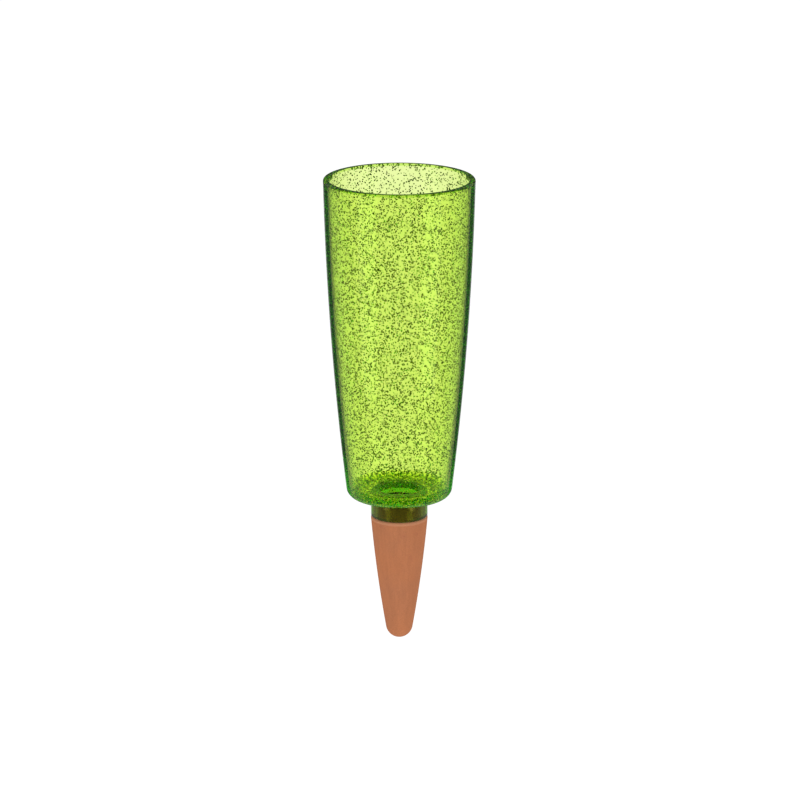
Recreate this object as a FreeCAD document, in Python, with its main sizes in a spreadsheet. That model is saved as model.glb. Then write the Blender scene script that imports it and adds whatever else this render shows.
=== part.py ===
# Self watering spike: a clear green cup on a hollow clay cone, in millimetres.
# +Z points up along the axis, and the origin is the tip of the cone.

import FreeCAD, Part
import math
import os
import Sketcher

# The driving dimensions. Everything else follows from them.
SIZES = {
    # cup
    "cup_height": 173.0,
    "rim_radius": 40.0,
    "foot_radius": 27.75,
    "flank_arc_radius": 1710.0,
    "cup_wall": 3.0,
    "floor_thickness": 4.0,
    "drain_radius": 10.75,
    "drain_chamfer": 0.4,
    "foot_rounding": 5.0,
    "floor_corner_rounding": 4.5,
    "rim_outer_chamfer": 1.0,
    "rim_inner_chamfer": 0.7,
    # socket under the cup
    "neck_length": 11.0,
    "neck_radius": 15.25,
    "neck_wall": 3.5,
    "neck_end_chamfer": 0.4,
    "socket_lead_in": 0.8,
    "seat_depth": 1.0,
    "bond_gap": 0.05,
    # clay cone
    "cone_length": 69.0,
    "tip_radius": 7.25,
    "belly_height": 36.0,
    "belly_radius": 11.8,
    "shoulder_overhang": 0.05,
    "shoulder_rounding": 1.2,
    "clay_wall": 4.2,
    "throat_length": 3.6,
    "spigot_length": 7.0,
    "spigot_gap": 0.3,
    "nose_length": 2.0,
    "clay_edge_chamfer": 0.4,
    # seal ring
    "ring_section": 2.2,
    "ring_gap": 0.05,
}

doc = FreeCAD.newDocument("self_watering_spike")
sheet = doc.addObject("Spreadsheet::Sheet", "sizes")
for row, (alias, value) in enumerate(SIZES.items(), start=1):
    sheet.set(f"A{row}", alias)
    sheet.set(f"B{row}", str(value))
    sheet.setAlias(f"B{row}", alias)
doc.recompute()

# Sizes that several pieces share, written in the driving dimensions
SHOULDER_RADIUS = "(sizes.neck_radius + sizes.shoulder_overhang)"
SOCKET_RADIUS = "(sizes.neck_radius - sizes.neck_wall)"
SPIGOT_RADIUS = f"({SOCKET_RADIUS} - sizes.spigot_gap)"
SPIGOT_BORE = f"({SPIGOT_RADIUS} - sizes.clay_wall)"
NOSE_RADIUS = f"({SOCKET_RADIUS} - 2 * sizes.ring_gap - sizes.ring_section)"
LEDGE_HEIGHT = "(sizes.cone_length + sizes.spigot_length)"
NOSE_HEIGHT = "(sizes.cone_length + sizes.spigot_length + sizes.nose_length)"
FOOT_HEIGHT = "(sizes.cone_length + sizes.neck_length)"
SEAT_RADIUS = "(sizes.neck_radius + sizes.bond_gap)"

# Where the arcs of the cup's flanks meet, as shares of its height
FLANK_JOINT_SHARES = (0.2, 0.5)

# Point numbers of a sketch's geometry
START, END, CENTRE = 1, 2, 3
ORIGIN = (-1, 1)


def amount(expression):
    """The value of an expression in the driving dimensions."""
    return float(sheet.evalExpression(expression))


def point(across, up):
    return FreeCAD.Vector(across, up, 0)


def new_body(name, height="0"):
    """A body whose own origin lies on the axis at the given height."""
    body = doc.addObject("PartDesign::Body", name)
    body.Label = name
    body.setExpression("Placement.Base.z", height)
    return body


def section_sketch(body, name):
    """A sketch of a half section: its x is the radius and its y is the height."""
    sketch = body.newObject("Sketcher::SketchObject", name)
    plane = [p for p in body.Origin.OriginFeatures if p.Role == "XZ_Plane"][0]
    sketch.AttachmentSupport = [(plane, "")]
    sketch.MapMode = "FlatFace"
    return sketch


def line(sketch, start, end):
    return sketch.addGeometry(Part.LineSegment(start, end), False)


def arc(sketch, centre, start, end):
    """An arc that runs anticlockwise about its centre."""
    circle = Part.Circle(centre, FreeCAD.Vector(0, 0, 1), centre.distanceToPoint(start))
    from_angle = math.atan2(start.y - centre.y, start.x - centre.x)
    to_angle = math.atan2(end.y - centre.y, end.x - centre.x)
    return sketch.addGeometry(Part.ArcOfCircle(circle, from_angle, to_angle), False)


def join(sketch, *ends):
    """Makes pairs of ends meet. An end is a piece of geometry and its point number."""
    for first, second in zip(ends[0::2], ends[1::2]):
        sketch.addConstraint(Sketcher.Constraint("Coincident", *first, *second))


def smooth(sketch, *ends):
    """Makes pairs of ends meet in one tangent line."""
    for first, second in zip(ends[0::2], ends[1::2]):
        sketch.addConstraint(Sketcher.Constraint("Tangent", *first, *second))


def level(sketch, *lines):
    for item in lines:
        sketch.addConstraint(Sketcher.Constraint("Horizontal", item))


def upright(sketch, *lines):
    for item in lines:
        sketch.addConstraint(Sketcher.Constraint("Vertical", item))


def dimension(sketch, kind, name, expression, *where):
    """A named dimension of a sketch, bound to the driving dimensions."""
    index = sketch.addConstraint(Sketcher.Constraint(kind, *where, amount(expression)))
    sketch.renameConstraint(index, name)
    sketch.setExpression("Constraints." + name, expression)


def across(sketch, name, expression, *end):
    """How far an end lies from the axis."""
    dimension(sketch, "DistanceX", name, expression, *ORIGIN, *end)


def up(sketch, name, expression, *end):
    """How far an end lies above the body's origin."""
    dimension(sketch, "DistanceY", name, expression, *ORIGIN, *end)


def rectangle(sketch, inner, outer, bottom, top):
    """A section of a ring, between two radii and two heights, all expressions."""
    corners = [
        point(amount(inner), amount(bottom)),
        point(amount(outer), amount(bottom)),
        point(amount(outer), amount(top)),
        point(amount(inner), amount(top)),
    ]
    sides = [line(sketch, corners[n], corners[(n + 1) % 4]) for n in range(4)]
    for n in range(4):
        join(sketch, (sides[n], END), (sides[(n + 1) % 4], START))
    level(sketch, sides[0], sides[2])
    upright(sketch, sides[1], sides[3])
    across(sketch, "inner_radius", inner, sides[0], START)
    across(sketch, "outer_radius", outer, sides[0], END)
    if amount(bottom) == 0:
        sketch.addConstraint(Sketcher.Constraint("PointOnObject", sides[0], START, -1))
    else:
        up(sketch, "bottom", bottom, sides[0], START)
    up(sketch, "top", top, sides[2], START)


def turn(body, name, sketch):
    """A Revolution of a half section about the axis."""
    feature = body.newObject("PartDesign::Revolution", name)
    feature.Profile = sketch
    feature.ReferenceAxis = (sketch, ["V_Axis"])
    feature.Angle = 360
    doc.recompute()


def round_edge(feature, height, which):
    """The name of the inner (min) or outer (max) circular edge at a height."""
    found = {}
    for number, edge in enumerate(feature.Shape.Edges, start=1):
        if edge.Degenerated or not isinstance(edge.Curve, Part.Circle):
            continue
        lies_flat = abs(edge.Curve.Axis.z) > 0.5
        if lies_flat and math.isclose(edge.Curve.Center.z, height, abs_tol=1e-6):
            found[edge.Curve.Radius] = f"Edge{number}"
    return found[which(found)]


def soften(body, kind, name, size, height, which):
    """A Fillet or Chamfer on one circular edge of the body's newest feature."""
    base = body.Tip
    feature = body.newObject("PartDesign::" + kind, name)
    feature.Base = (base, [round_edge(base, amount(height), which)])
    feature.setExpression("Radius" if kind == "Fillet" else "Size", size)
    doc.recompute()


def rounding(centre, radius, base, size):
    """A rounding inside an arc, above a level line: its centre, and its ends on both."""
    up = base + size
    across = centre.x + math.sqrt((radius - size) ** 2 - (up - centre.y) ** 2)
    own = point(across, up)
    return own, point(across, base), centre + (own - centre) * (radius / (radius - size))


def touching(outside, centre, radius):
    """Where a line from a point outside touches the right hand side of a circle."""
    apart = centre - outside
    lean = math.asin(radius / apart.Length)
    length = math.sqrt(apart.Length**2 - radius**2)
    heading = math.atan2(apart.y, apart.x) + lean
    return outside + point(math.cos(heading), math.sin(heading)) * length


def reservoir_cup():
    """One moulding: arched flanks of even wall, a thicker floor, a round drain."""
    body = new_body("reservoir_cup", FOOT_HEIGHT)
    sketch = section_sketch(body, "cup_section")
    height = amount("sizes.cup_height")
    floor = amount("sizes.floor_thickness")
    drain = amount("sizes.drain_radius")
    chamfer = amount("sizes.drain_chamfer")
    seat = amount(SEAT_RADIUS)
    seat_top_height = amount("sizes.seat_depth")
    outer = amount("sizes.flank_arc_radius")
    inner = outer - amount("sizes.cup_wall")
    foot = point(amount("sizes.foot_radius"), 0)
    rim = point(amount("sizes.rim_radius"), height)
    chord = rim - foot
    reach = math.sqrt(outer**2 - chord.Length**2 / 4)
    centre = (foot + rim) / 2 + point(-chord.y, chord.x) * (reach / chord.Length)

    def on_flank(radius, up):
        return point(centre.x + math.sqrt(radius**2 - (up - centre.y) ** 2), up)

    def flank(radius, bottom, top):
        """Three arcs of one circle, stacked from the bottom point to the top point."""
        joints = [on_flank(radius, height * share) for share in FLANK_JOINT_SHARES]
        ends = [bottom, *joints, top]
        return [arc(sketch, centre, ends[n], ends[n + 1]) for n in range(3)]

    size = amount("sizes.foot_rounding")
    foot_centre, foot_start, foot_end = rounding(centre, outer, foot.y, size)
    size = amount("sizes.floor_corner_rounding")
    floor_centre, floor_start, floor_end = rounding(centre, inner, floor, size)
    size = amount("sizes.rim_outer_chamfer")
    outer_top = on_flank(outer, height - size)
    rim_start = point(outer_top.x - size, height)
    size = amount("sizes.rim_inner_chamfer")
    inner_top = on_flank(inner, height - size)
    rim_end = point(inner_top.x + size, height)

    underside = line(sketch, point(seat, 0), foot_start)
    foot_arc = arc(sketch, foot_centre, foot_start, foot_end)
    lower, middle, upper = flank(outer, foot_end, outer_top)
    rim_outside = line(sketch, outer_top, rim_start)
    rim_top = line(sketch, rim_start, rim_end)
    rim_inside = line(sketch, rim_end, inner_top)
    inner_lower, inner_middle, inner_upper = flank(inner, floor_end, inner_top)
    floor_arc = arc(sketch, floor_centre, floor_start, floor_end)
    floor_top = line(sketch, floor_start, point(drain + chamfer, floor))
    drain_edge = line(sketch, point(drain + chamfer, floor), point(drain, floor - chamfer))
    drain_side = line(sketch, point(drain, floor - chamfer), point(drain, seat_top_height))
    seat_top = line(sketch, point(drain, seat_top_height), point(seat, seat_top_height))
    seat_side = line(sketch, point(seat, seat_top_height), point(seat, 0))
    foot_mark = sketch.addGeometry(Part.Point(foot), True)
    rim_mark = sketch.addGeometry(Part.Point(rim), True)

    smooth(sketch, (underside, END), (foot_arc, START), (foot_arc, END), (lower, START))
    smooth(sketch, (inner_lower, START), (floor_arc, END), (floor_arc, START), (floor_top, START))
    join(sketch, (lower, END), (middle, START), (middle, END), (upper, START))
    join(sketch, (upper, END), (rim_outside, START), (rim_outside, END), (rim_top, START))
    join(sketch, (rim_top, END), (rim_inside, START), (rim_inside, END), (inner_upper, END))
    join(sketch, (inner_lower, END), (inner_middle, START), (inner_middle, END), (inner_upper, START))
    join(sketch, (floor_top, END), (drain_edge, START), (drain_edge, END), (drain_side, START))
    join(sketch, (drain_side, END), (seat_top, START), (seat_top, END), (seat_side, START))
    join(sketch, (seat_side, END), (underside, START))
    for other in (middle, upper, inner_lower, inner_middle, inner_upper):
        join(sketch, (lower, CENTRE), (other, CENTRE))
    level(sketch, underside, rim_top, floor_top, seat_top)
    upright(sketch, drain_side, seat_side)
    sketch.addConstraint(Sketcher.Constraint("PointOnObject", underside, START, -1))
    sketch.addConstraint(Sketcher.Constraint("PointOnObject", foot_mark, START, -1))
    sketch.addConstraint(Sketcher.Constraint("PointOnObject", foot_mark, START, lower))
    sketch.addConstraint(Sketcher.Constraint("PointOnObject", rim_mark, START, upper))
    sketch.addConstraint(Sketcher.Constraint("PointOnObject", rim_mark, START, rim_top))

    across(sketch, "foot_radius", "sizes.foot_radius", foot_mark, START)
    across(sketch, "rim_radius", "sizes.rim_radius", rim_mark, START)
    across(sketch, "drain_radius", "sizes.drain_radius", drain_side, START)
    across(sketch, "drain_mouth", "sizes.drain_radius + sizes.drain_chamfer", floor_top, END)
    across(sketch, "seat_radius", SEAT_RADIUS, seat_side, START)
    up(sketch, "cup_height", "sizes.cup_height", rim_top, START)
    up(sketch, "floor_top", "sizes.floor_thickness", floor_top, END)
    up(sketch, "drain_edge", "sizes.floor_thickness - sizes.drain_chamfer", drain_side, START)
    up(sketch, "seat_depth", "sizes.seat_depth", seat_top, START)
    arcs = ((lower, inner_lower), (middle, inner_middle))
    for number, (share, pair) in enumerate(zip(FLANK_JOINT_SHARES, arcs), start=1):
        up(sketch, f"outer_joint_{number}", f"sizes.cup_height * {share}", pair[0], END)
        up(sketch, f"inner_joint_{number}", f"sizes.cup_height * {share}", pair[1], END)
    dimension(sketch, "Radius", "flank_radius", "sizes.flank_arc_radius", lower)
    dimension(
        sketch, "Radius", "inner_flank_radius", "sizes.flank_arc_radius - sizes.cup_wall", inner_lower
    )
    dimension(sketch, "Radius", "foot_rounding", "sizes.foot_rounding", foot_arc)
    dimension(sketch, "Radius", "floor_rounding", "sizes.floor_corner_rounding", floor_arc)
    chamfers = (("outer", rim_outside, upper), ("inner", rim_inside, inner_upper))
    for side, edge, flank_top in chamfers:
        size = f"sizes.rim_{side}_chamfer"
        dimension(sketch, "DistanceX", f"rim_{side}_width", size, edge, END, edge, START)
        up(sketch, f"rim_{side}_bottom", f"sizes.cup_height - {size}", flank_top, END)
    turn(body, "cup_shell", sketch)
    return body


def neck_socket():
    """The clear tube that is bonded into the seat under the cup's floor."""
    body = new_body("neck_socket", "sizes.cone_length")
    sketch = section_sketch(body, "tube_section")
    top = "sizes.neck_length + sizes.seat_depth"
    rectangle(sketch, SOCKET_RADIUS, "sizes.neck_radius", "0", top)
    turn(body, "tube", sketch)
    soften(body, "Chamfer", "end_edge", "sizes.neck_end_chamfer", "0", max)
    soften(body, "Chamfer", "lead_in", "sizes.socket_lead_in", "0", min)
    return body


def clay_cone():
    """Slip cast clay of even wall: round tip, bellied taper, shoulder, spigot and nose."""
    body = new_body("clay_cone")
    sketch = section_sketch(body, "cone_section")
    tip = amount("sizes.tip_radius")
    wall = amount("sizes.clay_wall")
    belly = point(amount("sizes.belly_radius"), amount("sizes.belly_height"))
    shoulder = point(amount(SHOULDER_RADIUS), amount("sizes.cone_length"))
    ledge_height = amount(LEDGE_HEIGHT)
    top_height = amount(NOSE_HEIGHT)
    spigot = amount(SPIGOT_RADIUS)
    bore = amount(SPIGOT_BORE)
    nose = amount(NOSE_RADIUS)
    throat_height = shoulder.y - wall
    tip_centre = point(0, tip)

    # The cavity starts one wall inside the upper taper, and its taper is tangent to its end.
    slope = (shoulder.x - belly.x) / (shoulder.y - belly.y)
    cavity_height = throat_height - amount("sizes.throat_length")
    taper_there = belly.x + slope * (cavity_height - belly.y)
    cavity_top = point(taper_there - wall * math.sqrt(1 + slope**2), cavity_height)
    outer_touch = touching(belly, tip_centre, tip)
    inner_touch = touching(cavity_top, tip_centre, tip - wall)

    outer_tip = arc(sketch, tip_centre, point(0, 0), outer_touch)
    lower_taper = line(sketch, outer_touch, belly)
    upper_taper = line(sketch, belly, shoulder)
    shelf = line(sketch, shoulder, point(spigot, shoulder.y))
    spigot_side = line(sketch, point(spigot, shoulder.y), point(spigot, ledge_height))
    ledge = line(sketch, point(spigot, ledge_height), point(nose, ledge_height))
    nose_side = line(sketch, point(nose, ledge_height), point(nose, top_height))
    mouth = line(sketch, point(nose, top_height), point(bore, top_height))
    bore_side = line(sketch, point(bore, top_height), point(bore, throat_height))
    throat = line(sketch, point(bore, throat_height), cavity_top)
    inner_taper = line(sketch, cavity_top, inner_touch)
    inner_tip = arc(sketch, tip_centre, point(0, wall), inner_touch)
    middle = line(sketch, point(0, wall), point(0, 0))

    smooth(sketch, (outer_tip, END), (lower_taper, START), (inner_tip, END), (inner_taper, END))
    join(sketch, (lower_taper, END), (upper_taper, START), (upper_taper, END), (shelf, START))
    join(sketch, (shelf, END), (spigot_side, START), (spigot_side, END), (ledge, START))
    join(sketch, (ledge, END), (nose_side, START), (nose_side, END), (mouth, START))
    join(sketch, (mouth, END), (bore_side, START), (bore_side, END), (throat, START))
    join(sketch, (throat, END), (inner_taper, START), (inner_tip, START), (middle, START))
    join(sketch, (middle, END), (outer_tip, START), (outer_tip, START), ORIGIN)
    join(sketch, (outer_tip, CENTRE), (inner_tip, CENTRE))
    sketch.addConstraint(Sketcher.Constraint("PointOnObject", outer_tip, CENTRE, -2))
    sketch.addConstraint(Sketcher.Constraint("PointOnObject", inner_tip, START, -2))
    level(sketch, shelf, ledge, mouth)
    upright(sketch, spigot_side, nose_side, bore_side)

    dimension(sketch, "Radius", "tip_radius", "sizes.tip_radius", outer_tip)
    dimension(sketch, "Radius", "inner_tip_radius", "sizes.tip_radius - sizes.clay_wall", inner_tip)
    across(sketch, "belly_radius", "sizes.belly_radius", upper_taper, START)
    up(sketch, "belly_height", "sizes.belly_height", upper_taper, START)
    across(sketch, "shoulder_radius", SHOULDER_RADIUS, shelf, START)
    up(sketch, "cone_length", "sizes.cone_length", shelf, START)
    across(sketch, "spigot_radius", SPIGOT_RADIUS, spigot_side, START)
    up(sketch, "ledge_height", LEDGE_HEIGHT, ledge, START)
    across(sketch, "nose_radius", NOSE_RADIUS, nose_side, START)
    up(sketch, "nose_height", NOSE_HEIGHT, mouth, START)
    across(sketch, "bore_radius", SPIGOT_BORE, bore_side, START)
    up(sketch, "throat_height", "sizes.cone_length - sizes.clay_wall", throat, START)
    up(sketch, "cavity_height", "sizes.cone_length - sizes.clay_wall - sizes.throat_length", throat, END)
    dimension(sketch, "Distance", "wall_at_cavity", "sizes.clay_wall", throat, END, upper_taper)
    turn(body, "cast_body", sketch)
    soften(body, "Fillet", "shoulder_edge", "sizes.shoulder_rounding", "sizes.cone_length", max)
    soften(body, "Chamfer", "ledge_edge", "sizes.clay_edge_chamfer", LEDGE_HEIGHT, max)
    soften(body, "Chamfer", "nose_edge", "sizes.clay_edge_chamfer", NOSE_HEIGHT, max)
    soften(body, "Chamfer", "bore_edge", "sizes.clay_edge_chamfer", NOSE_HEIGHT, min)
    return body


def seal_ring():
    """The square cut rubber ring round the nose, on the ledge, in the socket."""
    body = new_body("seal_ring", LEDGE_HEIGHT)
    sketch = section_sketch(body, "ring_section")
    inner = f"{NOSE_RADIUS} + sizes.ring_gap"
    outer = f"{NOSE_RADIUS} + sizes.ring_gap + sizes.ring_section"
    rectangle(sketch, inner, outer, "sizes.ring_gap", "sizes.ring_gap + sizes.ring_section")
    turn(body, "cut_ring", sketch)
    return body


parts = [reservoir_cup(), neck_socket(), seal_ring(), clay_cone()]
doc.recompute()

for item in doc.Objects:
    assert not {"Invalid", "Error"} & set(item.State), f"{item.Label} failed"
for part in parts:
    assert not part.Shape.isNull() and part.Shape.isValid(), f"{part.Label} has no valid shape"

os.makedirs("parts", exist_ok=True)
for part in parts:
    part.Shape.exportStep(f"parts/{part.Label}.step")
    print(part.Label, "volume", round(part.Shape.Volume, 1))
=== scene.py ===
# Self watering spike: a clear green cup full of small air bubbles on a hollow clay cone.
# Metres, +Z up along the axis, origin at the tip of the cone. Sizes are named in millimetres.
import math
import random

import bmesh
import bpy
import numpy as np
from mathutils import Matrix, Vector


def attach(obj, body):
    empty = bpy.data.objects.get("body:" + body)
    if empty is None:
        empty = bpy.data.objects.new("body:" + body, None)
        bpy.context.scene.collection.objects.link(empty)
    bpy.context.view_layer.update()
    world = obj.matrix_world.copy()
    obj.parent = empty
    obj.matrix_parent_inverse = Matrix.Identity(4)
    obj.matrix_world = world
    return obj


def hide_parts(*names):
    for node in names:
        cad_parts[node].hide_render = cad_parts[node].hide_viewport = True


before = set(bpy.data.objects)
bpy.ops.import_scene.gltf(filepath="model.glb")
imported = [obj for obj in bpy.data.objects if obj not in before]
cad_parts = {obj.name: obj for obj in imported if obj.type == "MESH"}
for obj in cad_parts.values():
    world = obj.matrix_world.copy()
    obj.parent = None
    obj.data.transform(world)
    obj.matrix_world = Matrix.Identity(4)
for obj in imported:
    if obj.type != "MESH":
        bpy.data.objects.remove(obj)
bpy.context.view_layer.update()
scene = bpy.context.scene

MM = 0.001

# Cup: FOOT is the height of its underside, SEAT the radius of the neck's seat under the floor
FOOT = 80.0
CUP_HEIGHT = 173.0
RIM_RADIUS = 39.96
FOOT_RADIUS = 27.75
FLANK_ARC = 1710.0
WALL = 3.0
FLOOR = 4.0
DRAIN = 10.75
DRAIN_EDGE = 0.5
FOOT_ROUNDING = 5.0
FLOOR_ROUNDING = 4.5
RIM_OUTER = 1.2
RIM_INNER = 0.8
SEAT = 15.3
SEAT_DEPTH = 1.0
# Neck
NECK_BOTTOM = 69.0
NECK_RADIUS = 15.25
NECK_WALL = 3.5
NECK_EDGE = 0.5
LEAD_IN = 0.8
BOND = 0.02
# Clay: the spigot goes up into the neck, and its narrower nose carries the seal ring
CONE_LENGTH = 69.0
TIP = 7.25
BELLY_ARC = 740.0
CLAY_WALL = 4.2
SHOULDER = 15.3
SHOULDER_ROUNDING = 1.2
SPIGOT_TOP = 76.0
SPIGOT_GAP = 0.3
NOSE_TOP = 78.0
THROAT = 3.6
CLAY_EDGE = 0.4
# Seal ring
RING = 2.2
RING_GAP = 0.05
RING_EDGE = 0.3

CUP_TOP = FOOT + CUP_HEIGHT
SOCKET = NECK_RADIUS - NECK_WALL
SPIGOT = SOCKET - SPIGOT_GAP
BORE = SPIGOT - CLAY_WALL
NOSE = SOCKET - 2 * RING_GAP - RING

# How finely the sections are divided along their arcs, and round the axis
FLANK_STEPS = 60
CORNER_STEPS = 12
RIM_STEPS = 6
DRAIN_STEPS = 4
NECK_STEPS = 5
BELLY_STEPS = 90
TIP_STEPS = 24
SHOULDER_STEPS = 8
CAVITY_STEPS = 30
INNER_TIP_STEPS = 12
RING_STEPS = 3
CUP_SEGMENTS = 360
CONE_SEGMENTS = 256
RING_SEGMENTS = 128
SHARP_ANGLE = math.radians(40)
ON_AXIS = 1e-9


def arc(across, up, radius, start, end, steps):
    """Points of an arc from one angle to another, in degrees."""
    angles = [math.radians(start + (end - start) * k / steps) for k in range(steps + 1)]
    return [(across + radius * math.cos(a), up + radius * math.sin(a)) for a in angles]


def run(radius_at, start, end, steps):
    """Points of a face between two heights, without its two ends."""
    heights = [start + (end - start) * k / steps for k in range(1, steps)]
    return [(radius_at(z), z) for z in heights]


def lean(centre, across, up):
    """The direction, in degrees, from the centre of an arc to a point of the section."""
    return math.degrees(math.atan2(up - centre[1], across - centre[0]))


def flank_centre():
    """The centre of the flank's long arc, which bulges outwards between foot and rim."""
    across, up = RIM_RADIUS - FOOT_RADIUS, CUP_HEIGHT
    chord = math.hypot(across, up)
    reach = math.sqrt(FLANK_ARC**2 - chord**2 / 4)
    middle = ((FOOT_RADIUS + RIM_RADIUS) / 2, (FOOT + CUP_TOP) / 2)
    return middle[0] - up * reach / chord, middle[1] + across * reach / chord


def belly_centre():
    """The centre of the clay's long arc, which runs tangent into the round tip."""
    across, up = SHOULDER, CONE_LENGTH - TIP
    span = math.hypot(across, up)
    along = ((BELLY_ARC - TIP) ** 2 - BELLY_ARC**2 + span**2) / (2 * span)
    aside = math.sqrt((BELLY_ARC - TIP) ** 2 - along**2)
    across, up = across / span, up / span
    return across * along - up * aside, TIP + up * along + across * aside


CUP_CENTRE = flank_centre()
CLAY_CENTRE = belly_centre()


def flank(z, inside=0.0):
    """The cup's radius at a height, a distance inside its outer face."""
    return CUP_CENTRE[0] + math.sqrt((FLANK_ARC - inside) ** 2 - (z - CUP_CENTRE[1]) ** 2)


def belly(z, inside=0.0):
    """The clay's radius at a height, a distance inside its outer face."""
    return CLAY_CENTRE[0] + math.sqrt((BELLY_ARC - inside) ** 2 - (z - CLAY_CENTRE[1]) ** 2)


def lower_corner(base, inside, size):
    """A rounding between a level face and the flank above it."""
    up = base + size
    across = flank(up, inside + size)
    return arc(across, up, size, -90, lean(CUP_CENTRE, across, up), CORNER_STEPS)


def cup_profile():
    points = [(SEAT, FOOT)]
    points += lower_corner(FOOT, 0, FOOT_ROUNDING)

    up = CUP_TOP - RIM_OUTER
    across = flank(up, RIM_OUTER)
    outer_rim = arc(across, up, RIM_OUTER, lean(CUP_CENTRE, across, up), 90, RIM_STEPS)
    points += run(flank, points[-1][1], outer_rim[0][1], FLANK_STEPS)
    points += outer_rim

    up = CUP_TOP - RIM_INNER
    across = flank(up, WALL - RIM_INNER)
    points += arc(across, up, RIM_INNER, 90, 180 + lean(CUP_CENTRE, across, up), RIM_STEPS)
    inner_corner = lower_corner(FOOT + FLOOR, WALL, FLOOR_ROUNDING)[::-1]
    points += run(lambda z: flank(z, WALL), points[-1][1], inner_corner[0][1], FLANK_STEPS)
    points += inner_corner

    edge_height = FOOT + FLOOR - DRAIN_EDGE
    points += arc(DRAIN + DRAIN_EDGE, edge_height, DRAIN_EDGE, 90, 180, DRAIN_STEPS)
    points += [(DRAIN, FOOT + SEAT_DEPTH), (SEAT, FOOT + SEAT_DEPTH)]
    return points


def neck_profile():
    top = FOOT + SEAT_DEPTH - BOND
    points = [(SOCKET + LEAD_IN, NECK_BOTTOM)]
    points += arc(
        NECK_RADIUS - NECK_EDGE, NECK_BOTTOM + NECK_EDGE, NECK_EDGE, -90, 0, NECK_STEPS
    )
    points += [(NECK_RADIUS, top), (SOCKET, top), (SOCKET, NECK_BOTTOM + LEAD_IN)]
    return points


def cone_profile():
    heading = lean(CLAY_CENTRE, 0, TIP)
    points = arc(0, TIP, TIP, -90, heading, TIP_STEPS)
    points[0] = (0.0, 0.0)

    up = CONE_LENGTH - SHOULDER_ROUNDING
    across = belly(up, SHOULDER_ROUNDING)
    angle = lean(CLAY_CENTRE, across, up)
    shoulder = arc(across, up, SHOULDER_ROUNDING, angle, 90, SHOULDER_STEPS)
    points += run(belly, points[-1][1], shoulder[0][1], BELLY_STEPS)
    points += shoulder

    points += [(SPIGOT, CONE_LENGTH), (SPIGOT, SPIGOT_TOP - CLAY_EDGE)]
    points += [(SPIGOT - CLAY_EDGE, SPIGOT_TOP), (NOSE, SPIGOT_TOP)]
    points += [(NOSE, NOSE_TOP - CLAY_EDGE), (NOSE - CLAY_EDGE, NOSE_TOP)]
    points += [(BORE + CLAY_EDGE, NOSE_TOP), (BORE, NOSE_TOP - CLAY_EDGE)]
    points += [(BORE, CONE_LENGTH - CLAY_WALL)]

    cavity_top = CONE_LENGTH - CLAY_WALL - THROAT
    points.append((belly(cavity_top, CLAY_WALL), cavity_top))
    inner_tip = arc(0, TIP, TIP - CLAY_WALL, heading, -90, INNER_TIP_STEPS)
    inner_tip[-1] = (0.0, CLAY_WALL)
    points += run(lambda z: belly(z, CLAY_WALL), cavity_top, inner_tip[0][1], CAVITY_STEPS)
    return points + inner_tip


def ring_profile():
    inner = NOSE + RING_GAP + RING_EDGE
    outer = NOSE + RING_GAP + RING - RING_EDGE
    low = SPIGOT_TOP + RING_GAP + RING_EDGE
    high = SPIGOT_TOP + RING_GAP + RING - RING_EDGE
    points = arc(outer, low, RING_EDGE, -90, 0, RING_STEPS)
    points += arc(outer, high, RING_EDGE, 0, 90, RING_STEPS)
    points += arc(inner, high, RING_EDGE, 90, 180, RING_STEPS)
    points += arc(inner, low, RING_EDGE, 180, 270, RING_STEPS)
    return points


def add_object(name, data):
    thing = bpy.data.objects.new(name, data)
    scene.collection.objects.link(thing)
    return thing


def lathe(name, profile, segments):
    """Turns a closed half section about the axis. The section runs anticlockwise."""
    vertices, faces, rings = [], [], []
    for radius, height in profile:
        if radius < ON_AXIS:
            rings.append([len(vertices)] * segments)
            vertices.append((0, 0, height * MM))
            continue
        rings.append([len(vertices) + s for s in range(segments)])
        for s in range(segments):
            angle = 2 * math.pi * s / segments
            x = radius * MM * math.cos(angle)
            y = radius * MM * math.sin(angle)
            vertices.append((x, y, height * MM))
    for here, there in zip(rings, rings[1:] + rings[:1]):
        for s in range(segments):
            t = (s + 1) % segments
            corners = list(dict.fromkeys([here[s], here[t], there[t], there[s]]))
            if len(corners) > 2:
                faces.append(corners)
    mesh = bpy.data.meshes.new(name)
    mesh.from_pydata(vertices, [], faces)
    mesh.validate()
    mesh.shade_smooth()
    mesh.set_sharp_from_angle(angle=SHARP_ANGLE)
    return add_object(name, mesh)


def new_material(name):
    """A material, its node tree and its shader."""
    material = bpy.data.materials.new(name)
    material.use_nodes = True
    return material, material.node_tree, material.node_tree.nodes["Principled BSDF"]


def add_node(tree, kind, **settings):
    """A node of a material, with its properties, and inputs given by name."""
    node = tree.nodes.new("ShaderNode" + kind)
    for key, value in settings.pop("inputs", {}).items():
        node.inputs[key].default_value = value
    for key, value in settings.items():
        setattr(node, key, value)
    return node


def place_node(tree, stretch=(1, 1, 1)):
    """Object coordinates in metres, stretched along the axes."""
    coordinates = add_node(tree, "TexCoord")
    mapping = add_node(tree, "Mapping", inputs={"Scale": stretch})
    tree.links.new(coordinates.outputs["Object"], mapping.inputs["Vector"])
    return mapping.outputs["Vector"]


def axes_node(tree, vector):
    """A vector's X, Y and Z as sockets."""
    node = add_node(tree, "SeparateXYZ")
    tree.links.new(vector, node.inputs[0])
    return node.outputs


def number_node(tree, operation, *values):
    """A calculation with numbers, each of them a socket or a plain value."""
    node = add_node(tree, "Math", operation=operation)
    for socket, value in zip(node.inputs, values):
        if isinstance(value, bpy.types.NodeSocket):
            tree.links.new(value, socket)
        else:
            socket.default_value = value
    return node.outputs[0]


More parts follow.
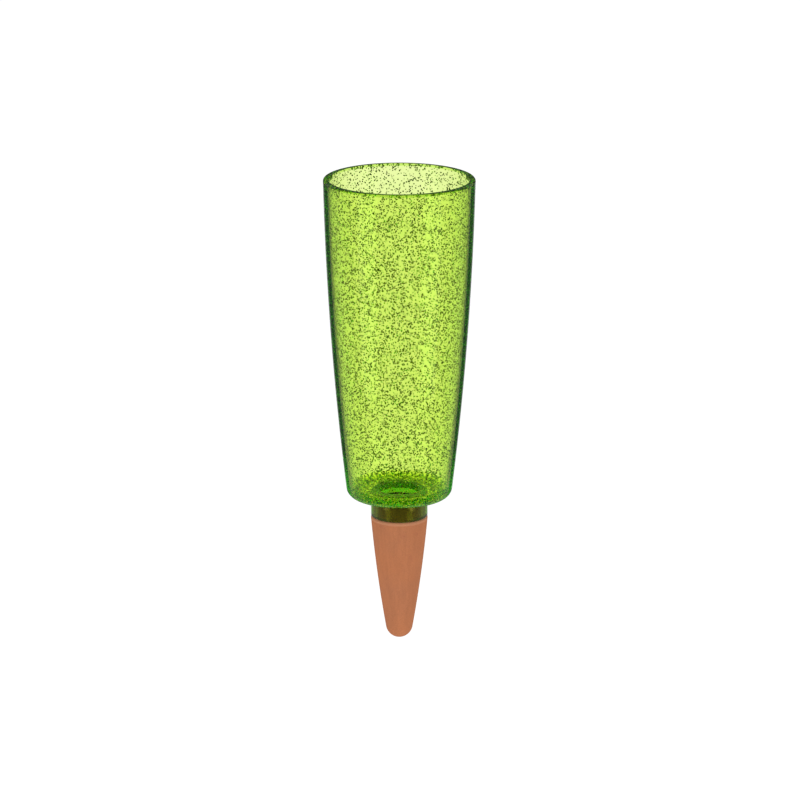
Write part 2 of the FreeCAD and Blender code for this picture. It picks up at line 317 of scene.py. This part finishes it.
def range_node(tree, value, start, end, top=1.0):
    """Rises from 0 to the top value while the value goes from start to end, and stays there."""
    limits = {"From Min": start, "From Max": end, "To Max": top}
    node = add_node(tree, "MapRange", inputs=limits)
    tree.links.new(value, node.inputs["Value"])
    return node.outputs["Result"]


def noise_node(tree, place, scale, detail=4.0, roughness=0.55):
    """Noise with a number of cells to the metre."""
    settings = {"Scale": scale, "Detail": detail, "Roughness": roughness}
    node = add_node(tree, "TexNoise", inputs=settings)
    tree.links.new(place, node.inputs["Vector"])
    return node.outputs["Fac"]


def ramp_node(tree, source, *stops):
    """A colour ramp: stops are a position and a colour, or a position and a grey value."""
    node = add_node(tree, "ValToRGB")
    elements = node.color_ramp.elements
    while len(elements) < len(stops):
        elements.new(0.5)
    for element, (position, value) in zip(elements, stops):
        element.position = position
        colour = value if isinstance(value, tuple) else (value, value, value)
        element.color = (*colour, 1)
    tree.links.new(source, node.inputs["Fac"])
    return node.outputs["Color"]


def mix_node(tree, factor, first, second, blend="MIX"):
    """A colour mix. The factor and both colours are sockets or plain values."""
    node = add_node(tree, "Mix", data_type="RGBA", blend_type=blend)
    sockets = node.inputs[0], node.inputs[6], node.inputs[7]
    for socket, value in zip(sockets, (factor, first, second)):
        if isinstance(value, bpy.types.NodeSocket):
            tree.links.new(value, socket)
        else:
            socket.default_value = (*value, 1) if isinstance(value, tuple) else value
    return node.outputs[2]


def bump_node(tree, shader, height, depth, strength):
    """Bump on a shader, its depth in metres."""
    node = add_node(tree, "Bump", inputs={"Distance": depth, "Strength": strength})
    tree.links.new(height, node.inputs["Height"])
    tree.links.new(node.outputs["Normal"], shader.inputs["Normal"])


PLASTIC_INDEX = 1.57
# The cup's outer face bends light this little where it is seen at a glancing angle, so that
# it shows the depth of the wall and not a grey reflection
GLANCING_INDEX = 1.03
# Positions on a ramp from 0, seen square on, to 1, seen along the face
GLANCING = ((0.65, 0.0), (0.69, 0.9), (0.8, 1.0))
SLANTED = ((0.2, 0.0), (0.6, 1.0))
# The same from 0, a face that stands upright, to 1, a level one
UPRIGHT = ((0.3, 1.0), (0.5, 0.0))
# Height over which the colour of the top sets in, in metres
TOP_FADE = 0.0003
GLOSS_SPREAD = 0.05
# Keeps the absorbed share of the strongest colour below one
DENSITY_MARGIN = 1.02


def clear_plastic(
    name, absorbed, middle, painted_edge_shade, level, sheen, top, polish=0.02, index=None, deeper=None
):
    """Clear plastic that takes up light in its depth.

    absorbed: light taken up per metre, in red, green and blue
    middle: two colours, clouded into each other, of upright faces
    deeper: the colour that the middle passes to where it is seen at a slant
    edge: painted shade, a dark colour on the outer face where it is seen at a glancing angle
    level: the colour of level faces
    sheen: the tint of its reflections
    top: a height in metres, and the colour of all that lies above it
    polish: the least roughness
    index: the refractive index of the outer face at glancing angles
    """
    material, tree, shader = new_material(name)
    shader.inputs["Transmission Weight"].default_value = 1
    shader.inputs["IOR"].default_value = PLASTIC_INDEX
    shader.inputs["Specular Tint"].default_value = (*sheen, 1)
    density = max(absorbed) * DENSITY_MARGIN
    volume = add_node(tree, "VolumeAbsorption", inputs={"Density": density})
    volume.inputs["Color"].default_value = (*[1 - share / density for share in absorbed], 1)
    tree.links.new(volume.outputs["Volume"], tree.nodes["Material Output"].inputs["Volume"])

    facing = add_node(tree, "LayerWeight", inputs={"Blend": 0.5}).outputs["Facing"]
    outside = add_node(tree, "Attribute", attribute_name="outside").outputs["Fac"]
    glancing = mix_node(tree, 1.0, ramp_node(tree, facing, *GLANCING), outside, "MULTIPLY")
    if index:
        fall = index - PLASTIC_INDEX
        falling = number_node(tree, "MULTIPLY_ADD", glancing, fall, PLASTIC_INDEX)
        tree.links.new(falling, shader.inputs["IOR"])

    place = place_node(tree)
    normal = add_node(tree, "NewGeometry").outputs["Normal"]
    steepness = number_node(tree, "ABSOLUTE", axes_node(tree, normal)["Z"])
    upright = ramp_node(tree, steepness, *UPRIGHT)
    cloud = noise_node(tree, place, scale=160)
    side = ramp_node(tree, cloud, (0.35, middle[0]), (0.65, middle[1]))
    if deeper:
        side = mix_node(tree, ramp_node(tree, facing, *SLANTED), side, deeper)
    # The outer face darkens where it is seen at a glancing angle: painted shade
    side = mix_node(tree, glancing, side, painted_edge_shade)
    colour = mix_node(tree, upright, level, side)
    top_height, top_colour = top
    height = axes_node(tree, place)["Z"]
    above = range_node(tree, height, top_height - TOP_FADE, top_height)
    colour = mix_node(tree, above, colour, top_colour)
    tree.links.new(colour, shader.inputs["Base Color"])

    wear = noise_node(tree, place, scale=90)
    gloss = ramp_node(tree, wear, (0.3, polish), (0.7, polish + GLOSS_SPREAD))
    tree.links.new(gloss, shader.inputs["Roughness"])
    ripple = noise_node(tree, place, scale=220, detail=2.0)
    bump_node(tree, shader, ripple, depth=0.0002, strength=0.12)
    return material


def bubble_material(name, dark, light, milk=0.0):
    """A small air bubble in green plastic, made as an opaque coloured bead with a glint. Its
    colour is painted shade and light: dark olive for the dark surroundings a bubble shows, bright
    green where light fills the floor.
    """
    material, tree, shader = new_material(name)
    shader.inputs["Specular IOR Level"].default_value = 0.05
    shader.inputs["Subsurface Weight"].default_value = milk
    shader.inputs["Subsurface Radius"].default_value = (1, 1, 1)
    shader.inputs["Subsurface Scale"].default_value = 0.0006
    place = place_node(tree)
    shades = noise_node(tree, place, scale=1500, detail=0.0)
    tone = ramp_node(tree, shades, (0.4, dark), (0.6, light))
    tree.links.new(tone, shader.inputs["Base Color"])
    glint = noise_node(tree, place, scale=400, detail=0.0)
    gloss = ramp_node(tree, glint, (0.3, 0.15), (0.7, 0.4))
    tree.links.new(gloss, shader.inputs["Roughness"])
    return material


CLAY_DULL, CLAY_WARM = (0.52, 0.195, 0.09), (0.59, 0.21, 0.086)
CLAY_BLOTCH = (0.46, 0.15, 0.08)
# Colour of the painted highlight, a lighter band where light from above falls on the shoulder's
# rounding
CLAY_TOP_HIGHLIGHT = (0.8, 0.4, 0.24)
# Heights, in metres, between which the painted highlight on the top of the shoulder sets in, and
# how strong it gets
HIGHLIGHT_START, HIGHLIGHT_END = 0.0668, 0.0676
HIGHLIGHT_SHARE = 0.35


def clay_material():
    """Unglazed clay: bands of duller and warmer tone, streaks, red blotches, pores and fine
    grain, and a painted highlight along the top of the shoulder.
    """
    material, tree, shader = new_material("clay")
    place = place_node(tree)
    drawn = place_node(tree, (1, 1, 0.12))
    broad = noise_node(tree, place, scale=45)
    body = ramp_node(tree, broad, (0.3, CLAY_DULL), (0.7, CLAY_WARM))
    streaks = noise_node(tree, drawn, scale=420, detail=5.0)
    streaks = ramp_node(tree, streaks, (0.3, 0.93), (0.62, 1.02))
    body = mix_node(tree, 1.0, body, streaks, "MULTIPLY")
    blotches = noise_node(tree, place, scale=230, detail=3.0)
    blotches = ramp_node(tree, blotches, (0.6, 0.0), (0.75, 0.35))
    body = mix_node(tree, blotches, body, CLAY_BLOTCH)
    height = axes_node(tree, place)["Z"]
    # Lighter towards the top of the shoulder: painted highlight
    top_highlight = range_node(tree, height, HIGHLIGHT_START, HIGHLIGHT_END, HIGHLIGHT_SHARE)
    body = mix_node(tree, top_highlight, body, CLAY_TOP_HIGHLIGHT)
    grain = noise_node(tree, place, scale=2600, detail=3.0, roughness=0.7)
    fine = ramp_node(tree, grain, (0.3, 0.86), (0.7, 1.1))
    body = mix_node(tree, 1.0, body, fine, "MULTIPLY")
    tree.links.new(body, shader.inputs["Base Color"])
    dull = ramp_node(tree, grain, (0.3, 0.82), (0.7, 0.98))
    tree.links.new(dull, shader.inputs["Roughness"])
    shader.inputs["Specular IOR Level"].default_value = 0.25
    bump_node(tree, shader, grain, depth=0.0004, strength=0.5)
    return material


def bonded_material():
    """The neck's top face, clouded green where it is bonded under the cup's floor."""
    material, tree, shader = new_material("bonded_green")
    cloud = noise_node(tree, place_node(tree), scale=700)
    tone = ramp_node(tree, cloud, (0.35, (0.3, 1.0, 0.04)), (0.65, (0.5, 1.0, 0.08)))
    tree.links.new(tone, shader.inputs["Base Color"])
    shader.inputs["Metallic"].default_value = 1
    gloss = ramp_node(tree, cloud, (0.3, 0.25), (0.7, 0.4))
    tree.links.new(gloss, shader.inputs["Roughness"])
    bump_node(tree, shader, cloud, depth=0.0001, strength=0.2)
    return material


def rubber_material():
    """Nearly black green rubber with a fine grain."""
    material, tree, shader = new_material("rubber")
    grain = noise_node(tree, place_node(tree), scale=1200)
    tone = ramp_node(tree, grain, (0.3, (0.01, 0.05, 0.006)), (0.7, (0.025, 0.09, 0.012)))
    tree.links.new(tone, shader.inputs["Base Color"])
    gloss = ramp_node(tree, grain, (0.3, 0.45), (0.7, 0.65))
    tree.links.new(gloss, shader.inputs["Roughness"])
    bump_node(tree, shader, grain, depth=0.0001, strength=0.3)
    return material


def cup_middle(z):
    """The radius, in mm, between the cup's inner and outer faces."""
    if z > CUP_TOP - RIM_OUTER:
        return 0
    if z > FOOT + FOOT_ROUNDING:
        return flank(z, WALL / 2)
    return FOOT_RADIUS - WALL


def neck_middle(z):
    """The same for the neck, at any height."""
    return NECK_RADIUS - NECK_WALL / 2


def mark_outside(piece, middle):
    """Marks the points of the outer face, those past the middle of the wall, for the material."""
    mark = piece.data.attributes.new("outside", "FLOAT", "POINT")
    for vertex, value in zip(piece.data.vertices, mark.data):
        across = math.hypot(vertex.co.x, vertex.co.y) / MM
        value.value = 1.0 if across > middle(vertex.co.z / MM) else 0.0


# The four pieces
cup = lathe("cup", cup_profile(), CUP_SEGMENTS)
neck = lathe("neck", neck_profile(), CONE_SEGMENTS)
cone = lathe("cone_clay", cone_profile(), CONE_SEGMENTS)
ring = lathe("seal", ring_profile(), RING_SEGMENTS)
mark_outside(cup, cup_middle)
mark_outside(neck, neck_middle)
cup.data.materials.append(
    clear_plastic(
        "bubbled_green",
        absorbed=(66, 19, 320),
        middle=((0.95, 1.0, 0.9), (1.0, 1.0, 1.0)),
        # Dark green outline: painted shade for the dark surroundings seen through the wall's edge
        painted_edge_shade=(0.05, 1.0, 0.02),
        level=(0.85, 1.0, 0.2),
        sheen=(0.15, 0.25, 0.05),
        top=((CUP_TOP - RIM_OUTER) * MM, (0.6, 0.85, 0.25)),
        index=GLANCING_INDEX,
        deeper=(0.9, 1.0, 0.8),
    )
)
neck.data.materials.append(
    clear_plastic(
        "clear_green",
        absorbed=(75, 30, 350),
        # Dark olive: painted shade, which darkens the clay spigot seen through the neck as the
        # shade under the cup would
        middle=((0.29, 0.3, 0.07), (0.39, 0.4, 0.11)),
        # Dark green outline: painted shade for the dark surroundings seen through the wall's edge
        painted_edge_shade=(0.07, 0.3, 0.01),
        level=(1.0, 1.0, 1.0),
        sheen=(0.9, 0.8, 0.1),
        top=(0.078, (0.14, 0.5, 0.03)),
        polish=0.06,
    )
)
neck.data.materials.append(bonded_material())
for face in neck.data.polygons:
    at_top = face.center.z / MM > FOOT + SEAT_DEPTH - 2 * BOND
    if at_top and abs(face.normal.z) > 0.9:
        face.material_index = 1
cone.data.materials.append(clay_material())
ring.data.materials.append(rubber_material())

# Bubbles: how many lie in a cubic millimetre of the flank, and of the floor and foot
FLANK_DENSITY = 0.19
FLOOR_DENSITY = 0.4
# Green ones are bubbles with painted light, and olive ones are the same bubbles with painted
# shade.
# Green are all of the floor's, foot's and rim's, fewer and fewer up to this height above the
# foot's corner, and a share of the rest
GREEN_RISE = 16
GREEN_SHARE = 0.12
# Extra ones just under the rim: their number, the height of their band, and their least
# depth behind the cup's faces
RIM_COUNT = 200
RIM_BAND = 1.2
RIM_DEPTH = 1.0
# Radii, more of them near the lower one, and how much larger they are in the floor
BUBBLE_RADII = (0.27, 0.45)
SMALLNESS = 1.5
FLOOR_GROWTH = 1.25
# Bubbles larger than this are finer balls
FINE_FROM = 0.33
# Least plastic between a bubble and any face
SKIN = 0.15
# How far below the rim the flank's bubbles end, by their middles and by their tops
MIDDLES_BELOW_RIM = 0.6
TOPS_BELOW_RIM = 0.5
# The foot's rounding is heeded from this far inside its centre
CORNER_MARGIN = 0.2
# Height of the top of the floor's inner corner, in mm
CORNER_TOP = FOOT + FLOOR + FLOOR_ROUNDING
PER_PIECE = 2400
random_bubbles = random.Random(5)


def any_angle():
    return random_bubbles.random() * 2 * math.pi


def bubble_radius():
    low, high = BUBBLE_RADII
    return low + (high - low) * random_bubbles.random() ** SMALLNESS


def flank_bubbles():
    """Bubbles in the flank: radius from the axis, angle, height and size of each."""
    bottom, top = CORNER_TOP, CUP_TOP - MIDDLES_BELOW_RIM
    volume = math.pi * (flank(top) + flank(bottom)) * (top - bottom) * WALL
    for _ in range(int(volume * FLANK_DENSITY)):
        size = bubble_radius()
        while True:
            z = bottom + (top - bottom) * random_bubbles.random()
            if random_bubbles.random() < flank(z) / RIM_RADIUS:
                break
        inside = size + SKIN + (WALL - 2 * size - 2 * SKIN) * random_bubbles.random()
        z = min(z, CUP_TOP - size - TOPS_BELOW_RIM)
        yield flank(z, inside), any_angle(), z, size


def rim_bubbles():
    """The same just under the rim."""
    for _ in range(RIM_COUNT):
        size = bubble_radius()
        z = CUP_TOP - size - SKIN - RIM_BAND * random_bubbles.random()
        depth = max(size + SKIN, RIM_DEPTH)
        inside = depth + (WALL - 2 * depth) * random_bubbles.random()
        yield flank(z, inside), any_angle(), z, size


def floor_bubbles():
    """The same in the floor and the rounded foot, outside the neck's seat."""
    volume = math.pi * (FOOT_RADIUS**2 - DRAIN**2) * (CORNER_TOP - FOOT)
    corner = FOOT_RADIUS - FOOT_ROUNDING
    for _ in range(int(volume * FLOOR_DENSITY)):
        size = bubble_radius() * FLOOR_GROWTH
        r = math.sqrt(SEAT**2 + (FOOT_RADIUS**2 - SEAT**2) * random_bubbles.random())
        z = FOOT + (CORNER_TOP - FOOT) * random_bubbles.random()
        gap = size + SKIN
        bottom = FOOT + (SEAT_DEPTH if r < SEAT + gap else 0)
        clear = z > bottom + gap
        if r > corner - CORNER_MARGIN:
            below = math.hypot(r - corner, min(z - FOOT - FOOT_ROUNDING, 0))
            clear = clear and below < FOOT_ROUNDING - gap
        if z > FOOT + FLOOR - gap:
            inner = flank(z, WALL) - FLOOR_ROUNDING
            away = math.hypot(r - inner, CORNER_TOP - z)
            clear = clear and r > inner and away > FLOOR_ROUNDING + gap
        if clear:
            yield r, any_angle(), z, size


def sorted_bubbles():
    """The places of the green and of the olive bubbles."""
    green = [*floor_bubbles(), *rim_bubbles()]
    olive = []
    for place in flank_bubbles():
        low = place[2] < CORNER_TOP + GREEN_RISE * random_bubbles.random()
        if low or random_bubbles.random() < GREEN_SHARE:
            green.append(place)
        else:
            olive.append(place)
    return green, olive


def ball(subdivisions):
    """The points and triangles of a ball with a radius of one."""
    shape = bmesh.new()
    bmesh.ops.create_icosphere(shape, subdivisions=subdivisions, radius=1.0)
    points = np.array([vertex.co[:] for vertex in shape.verts])
    faces = np.array([[vertex.index for vertex in face.verts] for face in shape.faces])
    shape.free()
    return points, faces


PLAIN_BALL, FINE_BALL = ball(1), ball(2)


def bubble_piece(name, places, material):
    """One piece of many closed beads."""
    points, faces, used = [], [], 0
    for r, angle, z, size in places:
        shape, sides = FINE_BALL if size > FINE_FROM else PLAIN_BALL
        centre = (r * math.cos(angle), r * math.sin(angle), z)
        points.append((shape * size + centre) * MM)
        faces += (sides + used).tolist()
        used += len(shape)
    mesh = bpy.data.meshes.new(name)
    mesh.from_pydata(np.concatenate(points).tolist(), [], faces)
    mesh.shade_smooth()
    mesh.materials.append(material)
    return add_object(name, mesh)


# The same air bubbles, lit and shaded: olive beads with painted shade, milky green beads with
# painted light
shaded_olive_bubble = bubble_material("wall_bubble", (0.1, 0.15, 0.003), (0.36, 0.48, 0.012))
lit_green_bubble = bubble_material("floor_bubble", (0.12, 0.85, 0.01), (0.9, 1.0, 0.1), milk=1.0)
green_places, olive_places = sorted_bubbles()
bubble_pieces = []
for kind, places, material in (
    ("edge_bubbles", green_places, lit_green_bubble),
    ("wall_bubbles", olive_places, shaded_olive_bubble),
):
    for start in range(0, len(places), PER_PIECE):
        name = f"{kind}_{start // PER_PIECE + 1}"
        bubble_pieces.append(bubble_piece(name, places[start : start + PER_PIECE], material))

# Stage, in metres. The object can't stand on its tip, so the floor lies below it
FLOOR_HALF = 5.0
FLOOR_HEIGHT = -0.35
PAPER_GREY = 0.6
# The floor's own light: around the object, in the greyer zones behind it on both sides, in
# the white pool straight behind it, and far off, where the floor meets the background
PALE_LIGHT = 0.45
SHADE_LIGHT = 0.06
POOL_LIGHT = 0.82
FAR_LIGHT = 0.15
FAR_START, FAR_END = 4.2, 5.0
# The pool is as wide as the front view, and starts short of its lower edge
POOL_START, POOL_END = 0.35, 0.55
VIEW_SLOPE = 0.115
VIEW_DISTANCE = 1.91
VIEW_MARGIN = 0.03
POOL_FADE = 0.05
# It also fans out from the object. Directions are in half turns from straight behind
FAN = ((0.12, 1.0), (0.155, 0.0))
SHADE_START, SHADE_END = 0.1, 1.0
SHADE = ((0.27, 1.0), (0.5, 0.0))


def floor_light(tree):
    """The strength of the floor's own light at each place on it."""
    position = add_node(tree, "NewGeometry").outputs["Position"]
    spot = axes_node(tree, position)
    behind = spot["Y"]
    aside = number_node(tree, "ABSOLUTE", spot["X"])
    near_width = VIEW_SLOPE * VIEW_DISTANCE + VIEW_MARGIN
    half_width = number_node(tree, "MULTIPLY_ADD", behind, VIEW_SLOPE, near_width)
    within = number_node(tree, "SUBTRACT", half_width, aside)
    strip = range_node(tree, within, -POOL_FADE, 0.0)
    turn = number_node(tree, "ARCTAN2", aside, behind)
    half_turns = number_node(tree, "DIVIDE", turn, math.pi)
    width = number_node(tree, "MAXIMUM", strip, ramp_node(tree, half_turns, *FAN))
    pool = number_node(tree, "MULTIPLY", width, range_node(tree, behind, POOL_START, POOL_END))
    wings = ramp_node(tree, half_turns, *SHADE)
    shade = number_node(
        tree, "MULTIPLY", wings, range_node(tree, behind, SHADE_START, SHADE_END)
    )
    around = number_node(
        tree, "MULTIPLY_ADD", shade, SHADE_LIGHT - PALE_LIGHT, PALE_LIGHT
    )
    rise = number_node(tree, "SUBTRACT", POOL_LIGHT, around)
    light = number_node(tree, "ADD", around, number_node(tree, "MULTIPLY", pool, rise))
    away = add_node(tree, "VectorMath", operation="LENGTH")
    tree.links.new(position, away.inputs[0])
    near = range_node(tree, away.outputs["Value"], FAR_END, FAR_START)
    rise = number_node(tree, "SUBTRACT", light, FAR_LIGHT)
    return number_node(tree, "ADD", number_node(tree, "MULTIPLY", near, rise), FAR_LIGHT)


stage_mesh = bpy.data.meshes.new("floor")
corners = [(-1, -1), (1, -1), (1, 1), (-1, 1)]
stage_mesh.from_pydata(
    [(x * FLOOR_HALF, y * FLOOR_HALF, FLOOR_HEIGHT) for x, y in corners], [], [(0, 1, 2, 3)]
)
stage_floor = add_object("floor", stage_mesh)
paper, tree, shader = new_material("paper")
shader.inputs["Base Color"].default_value = (PAPER_GREY, PAPER_GREY, PAPER_GREY, 1)
shader.inputs["Roughness"].default_value = 1
shader.inputs["Specular IOR Level"].default_value = 0
shader.inputs["Emission Color"].default_value = (1, 1, 1, 1)
tree.links.new(floor_light(tree), shader.inputs["Emission Strength"])
stage_mesh.materials.append(paper)

WORLD_LIGHT = 0.38
world = bpy.data.worlds.new("studio")
scene.world = world
world.use_nodes = True
world.node_tree.nodes["Background"].inputs["Color"].default_value = (1, 1, 1, 1)
world.node_tree.nodes["Background"].inputs["Strength"].default_value = WORLD_LIGHT

# Two softboxes, left and right of the camera
SOFTBOX_ANGLE = math.radians(52)
SOFTBOX_HEIGHT = 0.1
SOFTBOX_SIZE = (0.5, 0.8)
SOFTBOX_POWER = 3.2
SOFTBOX_TARGET = Vector((0, 0, 0.13))
for side in (-1, 1):
    light = bpy.data.lights.new(f"softbox_{side + 1}", "AREA")
    light.shape = "RECTANGLE"
    light.size, light.size_y = SOFTBOX_SIZE
    light.energy = SOFTBOX_POWER
    lamp = add_object(light.name, light)
    lamp.location = (
        side * math.sin(SOFTBOX_ANGLE),
        -math.cos(SOFTBOX_ANGLE),
        SOFTBOX_HEIGHT,
    )
    lamp.rotation_euler = (SOFTBOX_TARGET - lamp.location).to_track_quat("-Z", "Y").to_euler()

# Camera, at the photograph's viewing angle
FOCAL_PIXELS = 3743.8
PHOTO_PIXELS = 800
ELEVATION = math.radians(15.9205)
DISTANCE = 1.9874
AIM = Vector((0.00037, 0, 0.1327091))
camera_data = bpy.data.cameras.new("camera")
camera = add_object("camera", camera_data)
camera_data.sensor_width = 36
camera_data.lens = FOCAL_PIXELS / PHOTO_PIXELS * camera_data.sensor_width
camera_data.clip_start = 0.05
camera_data.clip_end = 50
backward = Vector((0, -DISTANCE * math.cos(ELEVATION), DISTANCE * math.sin(ELEVATION)))
camera.location = AIM + backward
camera.rotation_euler = (AIM - camera.location).to_track_quat("-Z", "Y").to_euler()
scene.camera = camera

scene.view_settings.view_transform = "Standard"
# Light passes many faces of plastic before it leaves the wall
scene.cycles.max_bounces = 32
scene.cycles.transmission_bounces = 32
scene.cycles.glossy_bounces = 8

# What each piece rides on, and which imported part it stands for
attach(cup, "cup")
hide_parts("reservoir_cup")
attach(neck, "cup")
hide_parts("neck_socket")
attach(ring, "seal")
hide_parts("seal_ring")
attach(cone, "cone")
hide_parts("clay_cone")
for piece in bubble_pieces:
    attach(piece, "cup")
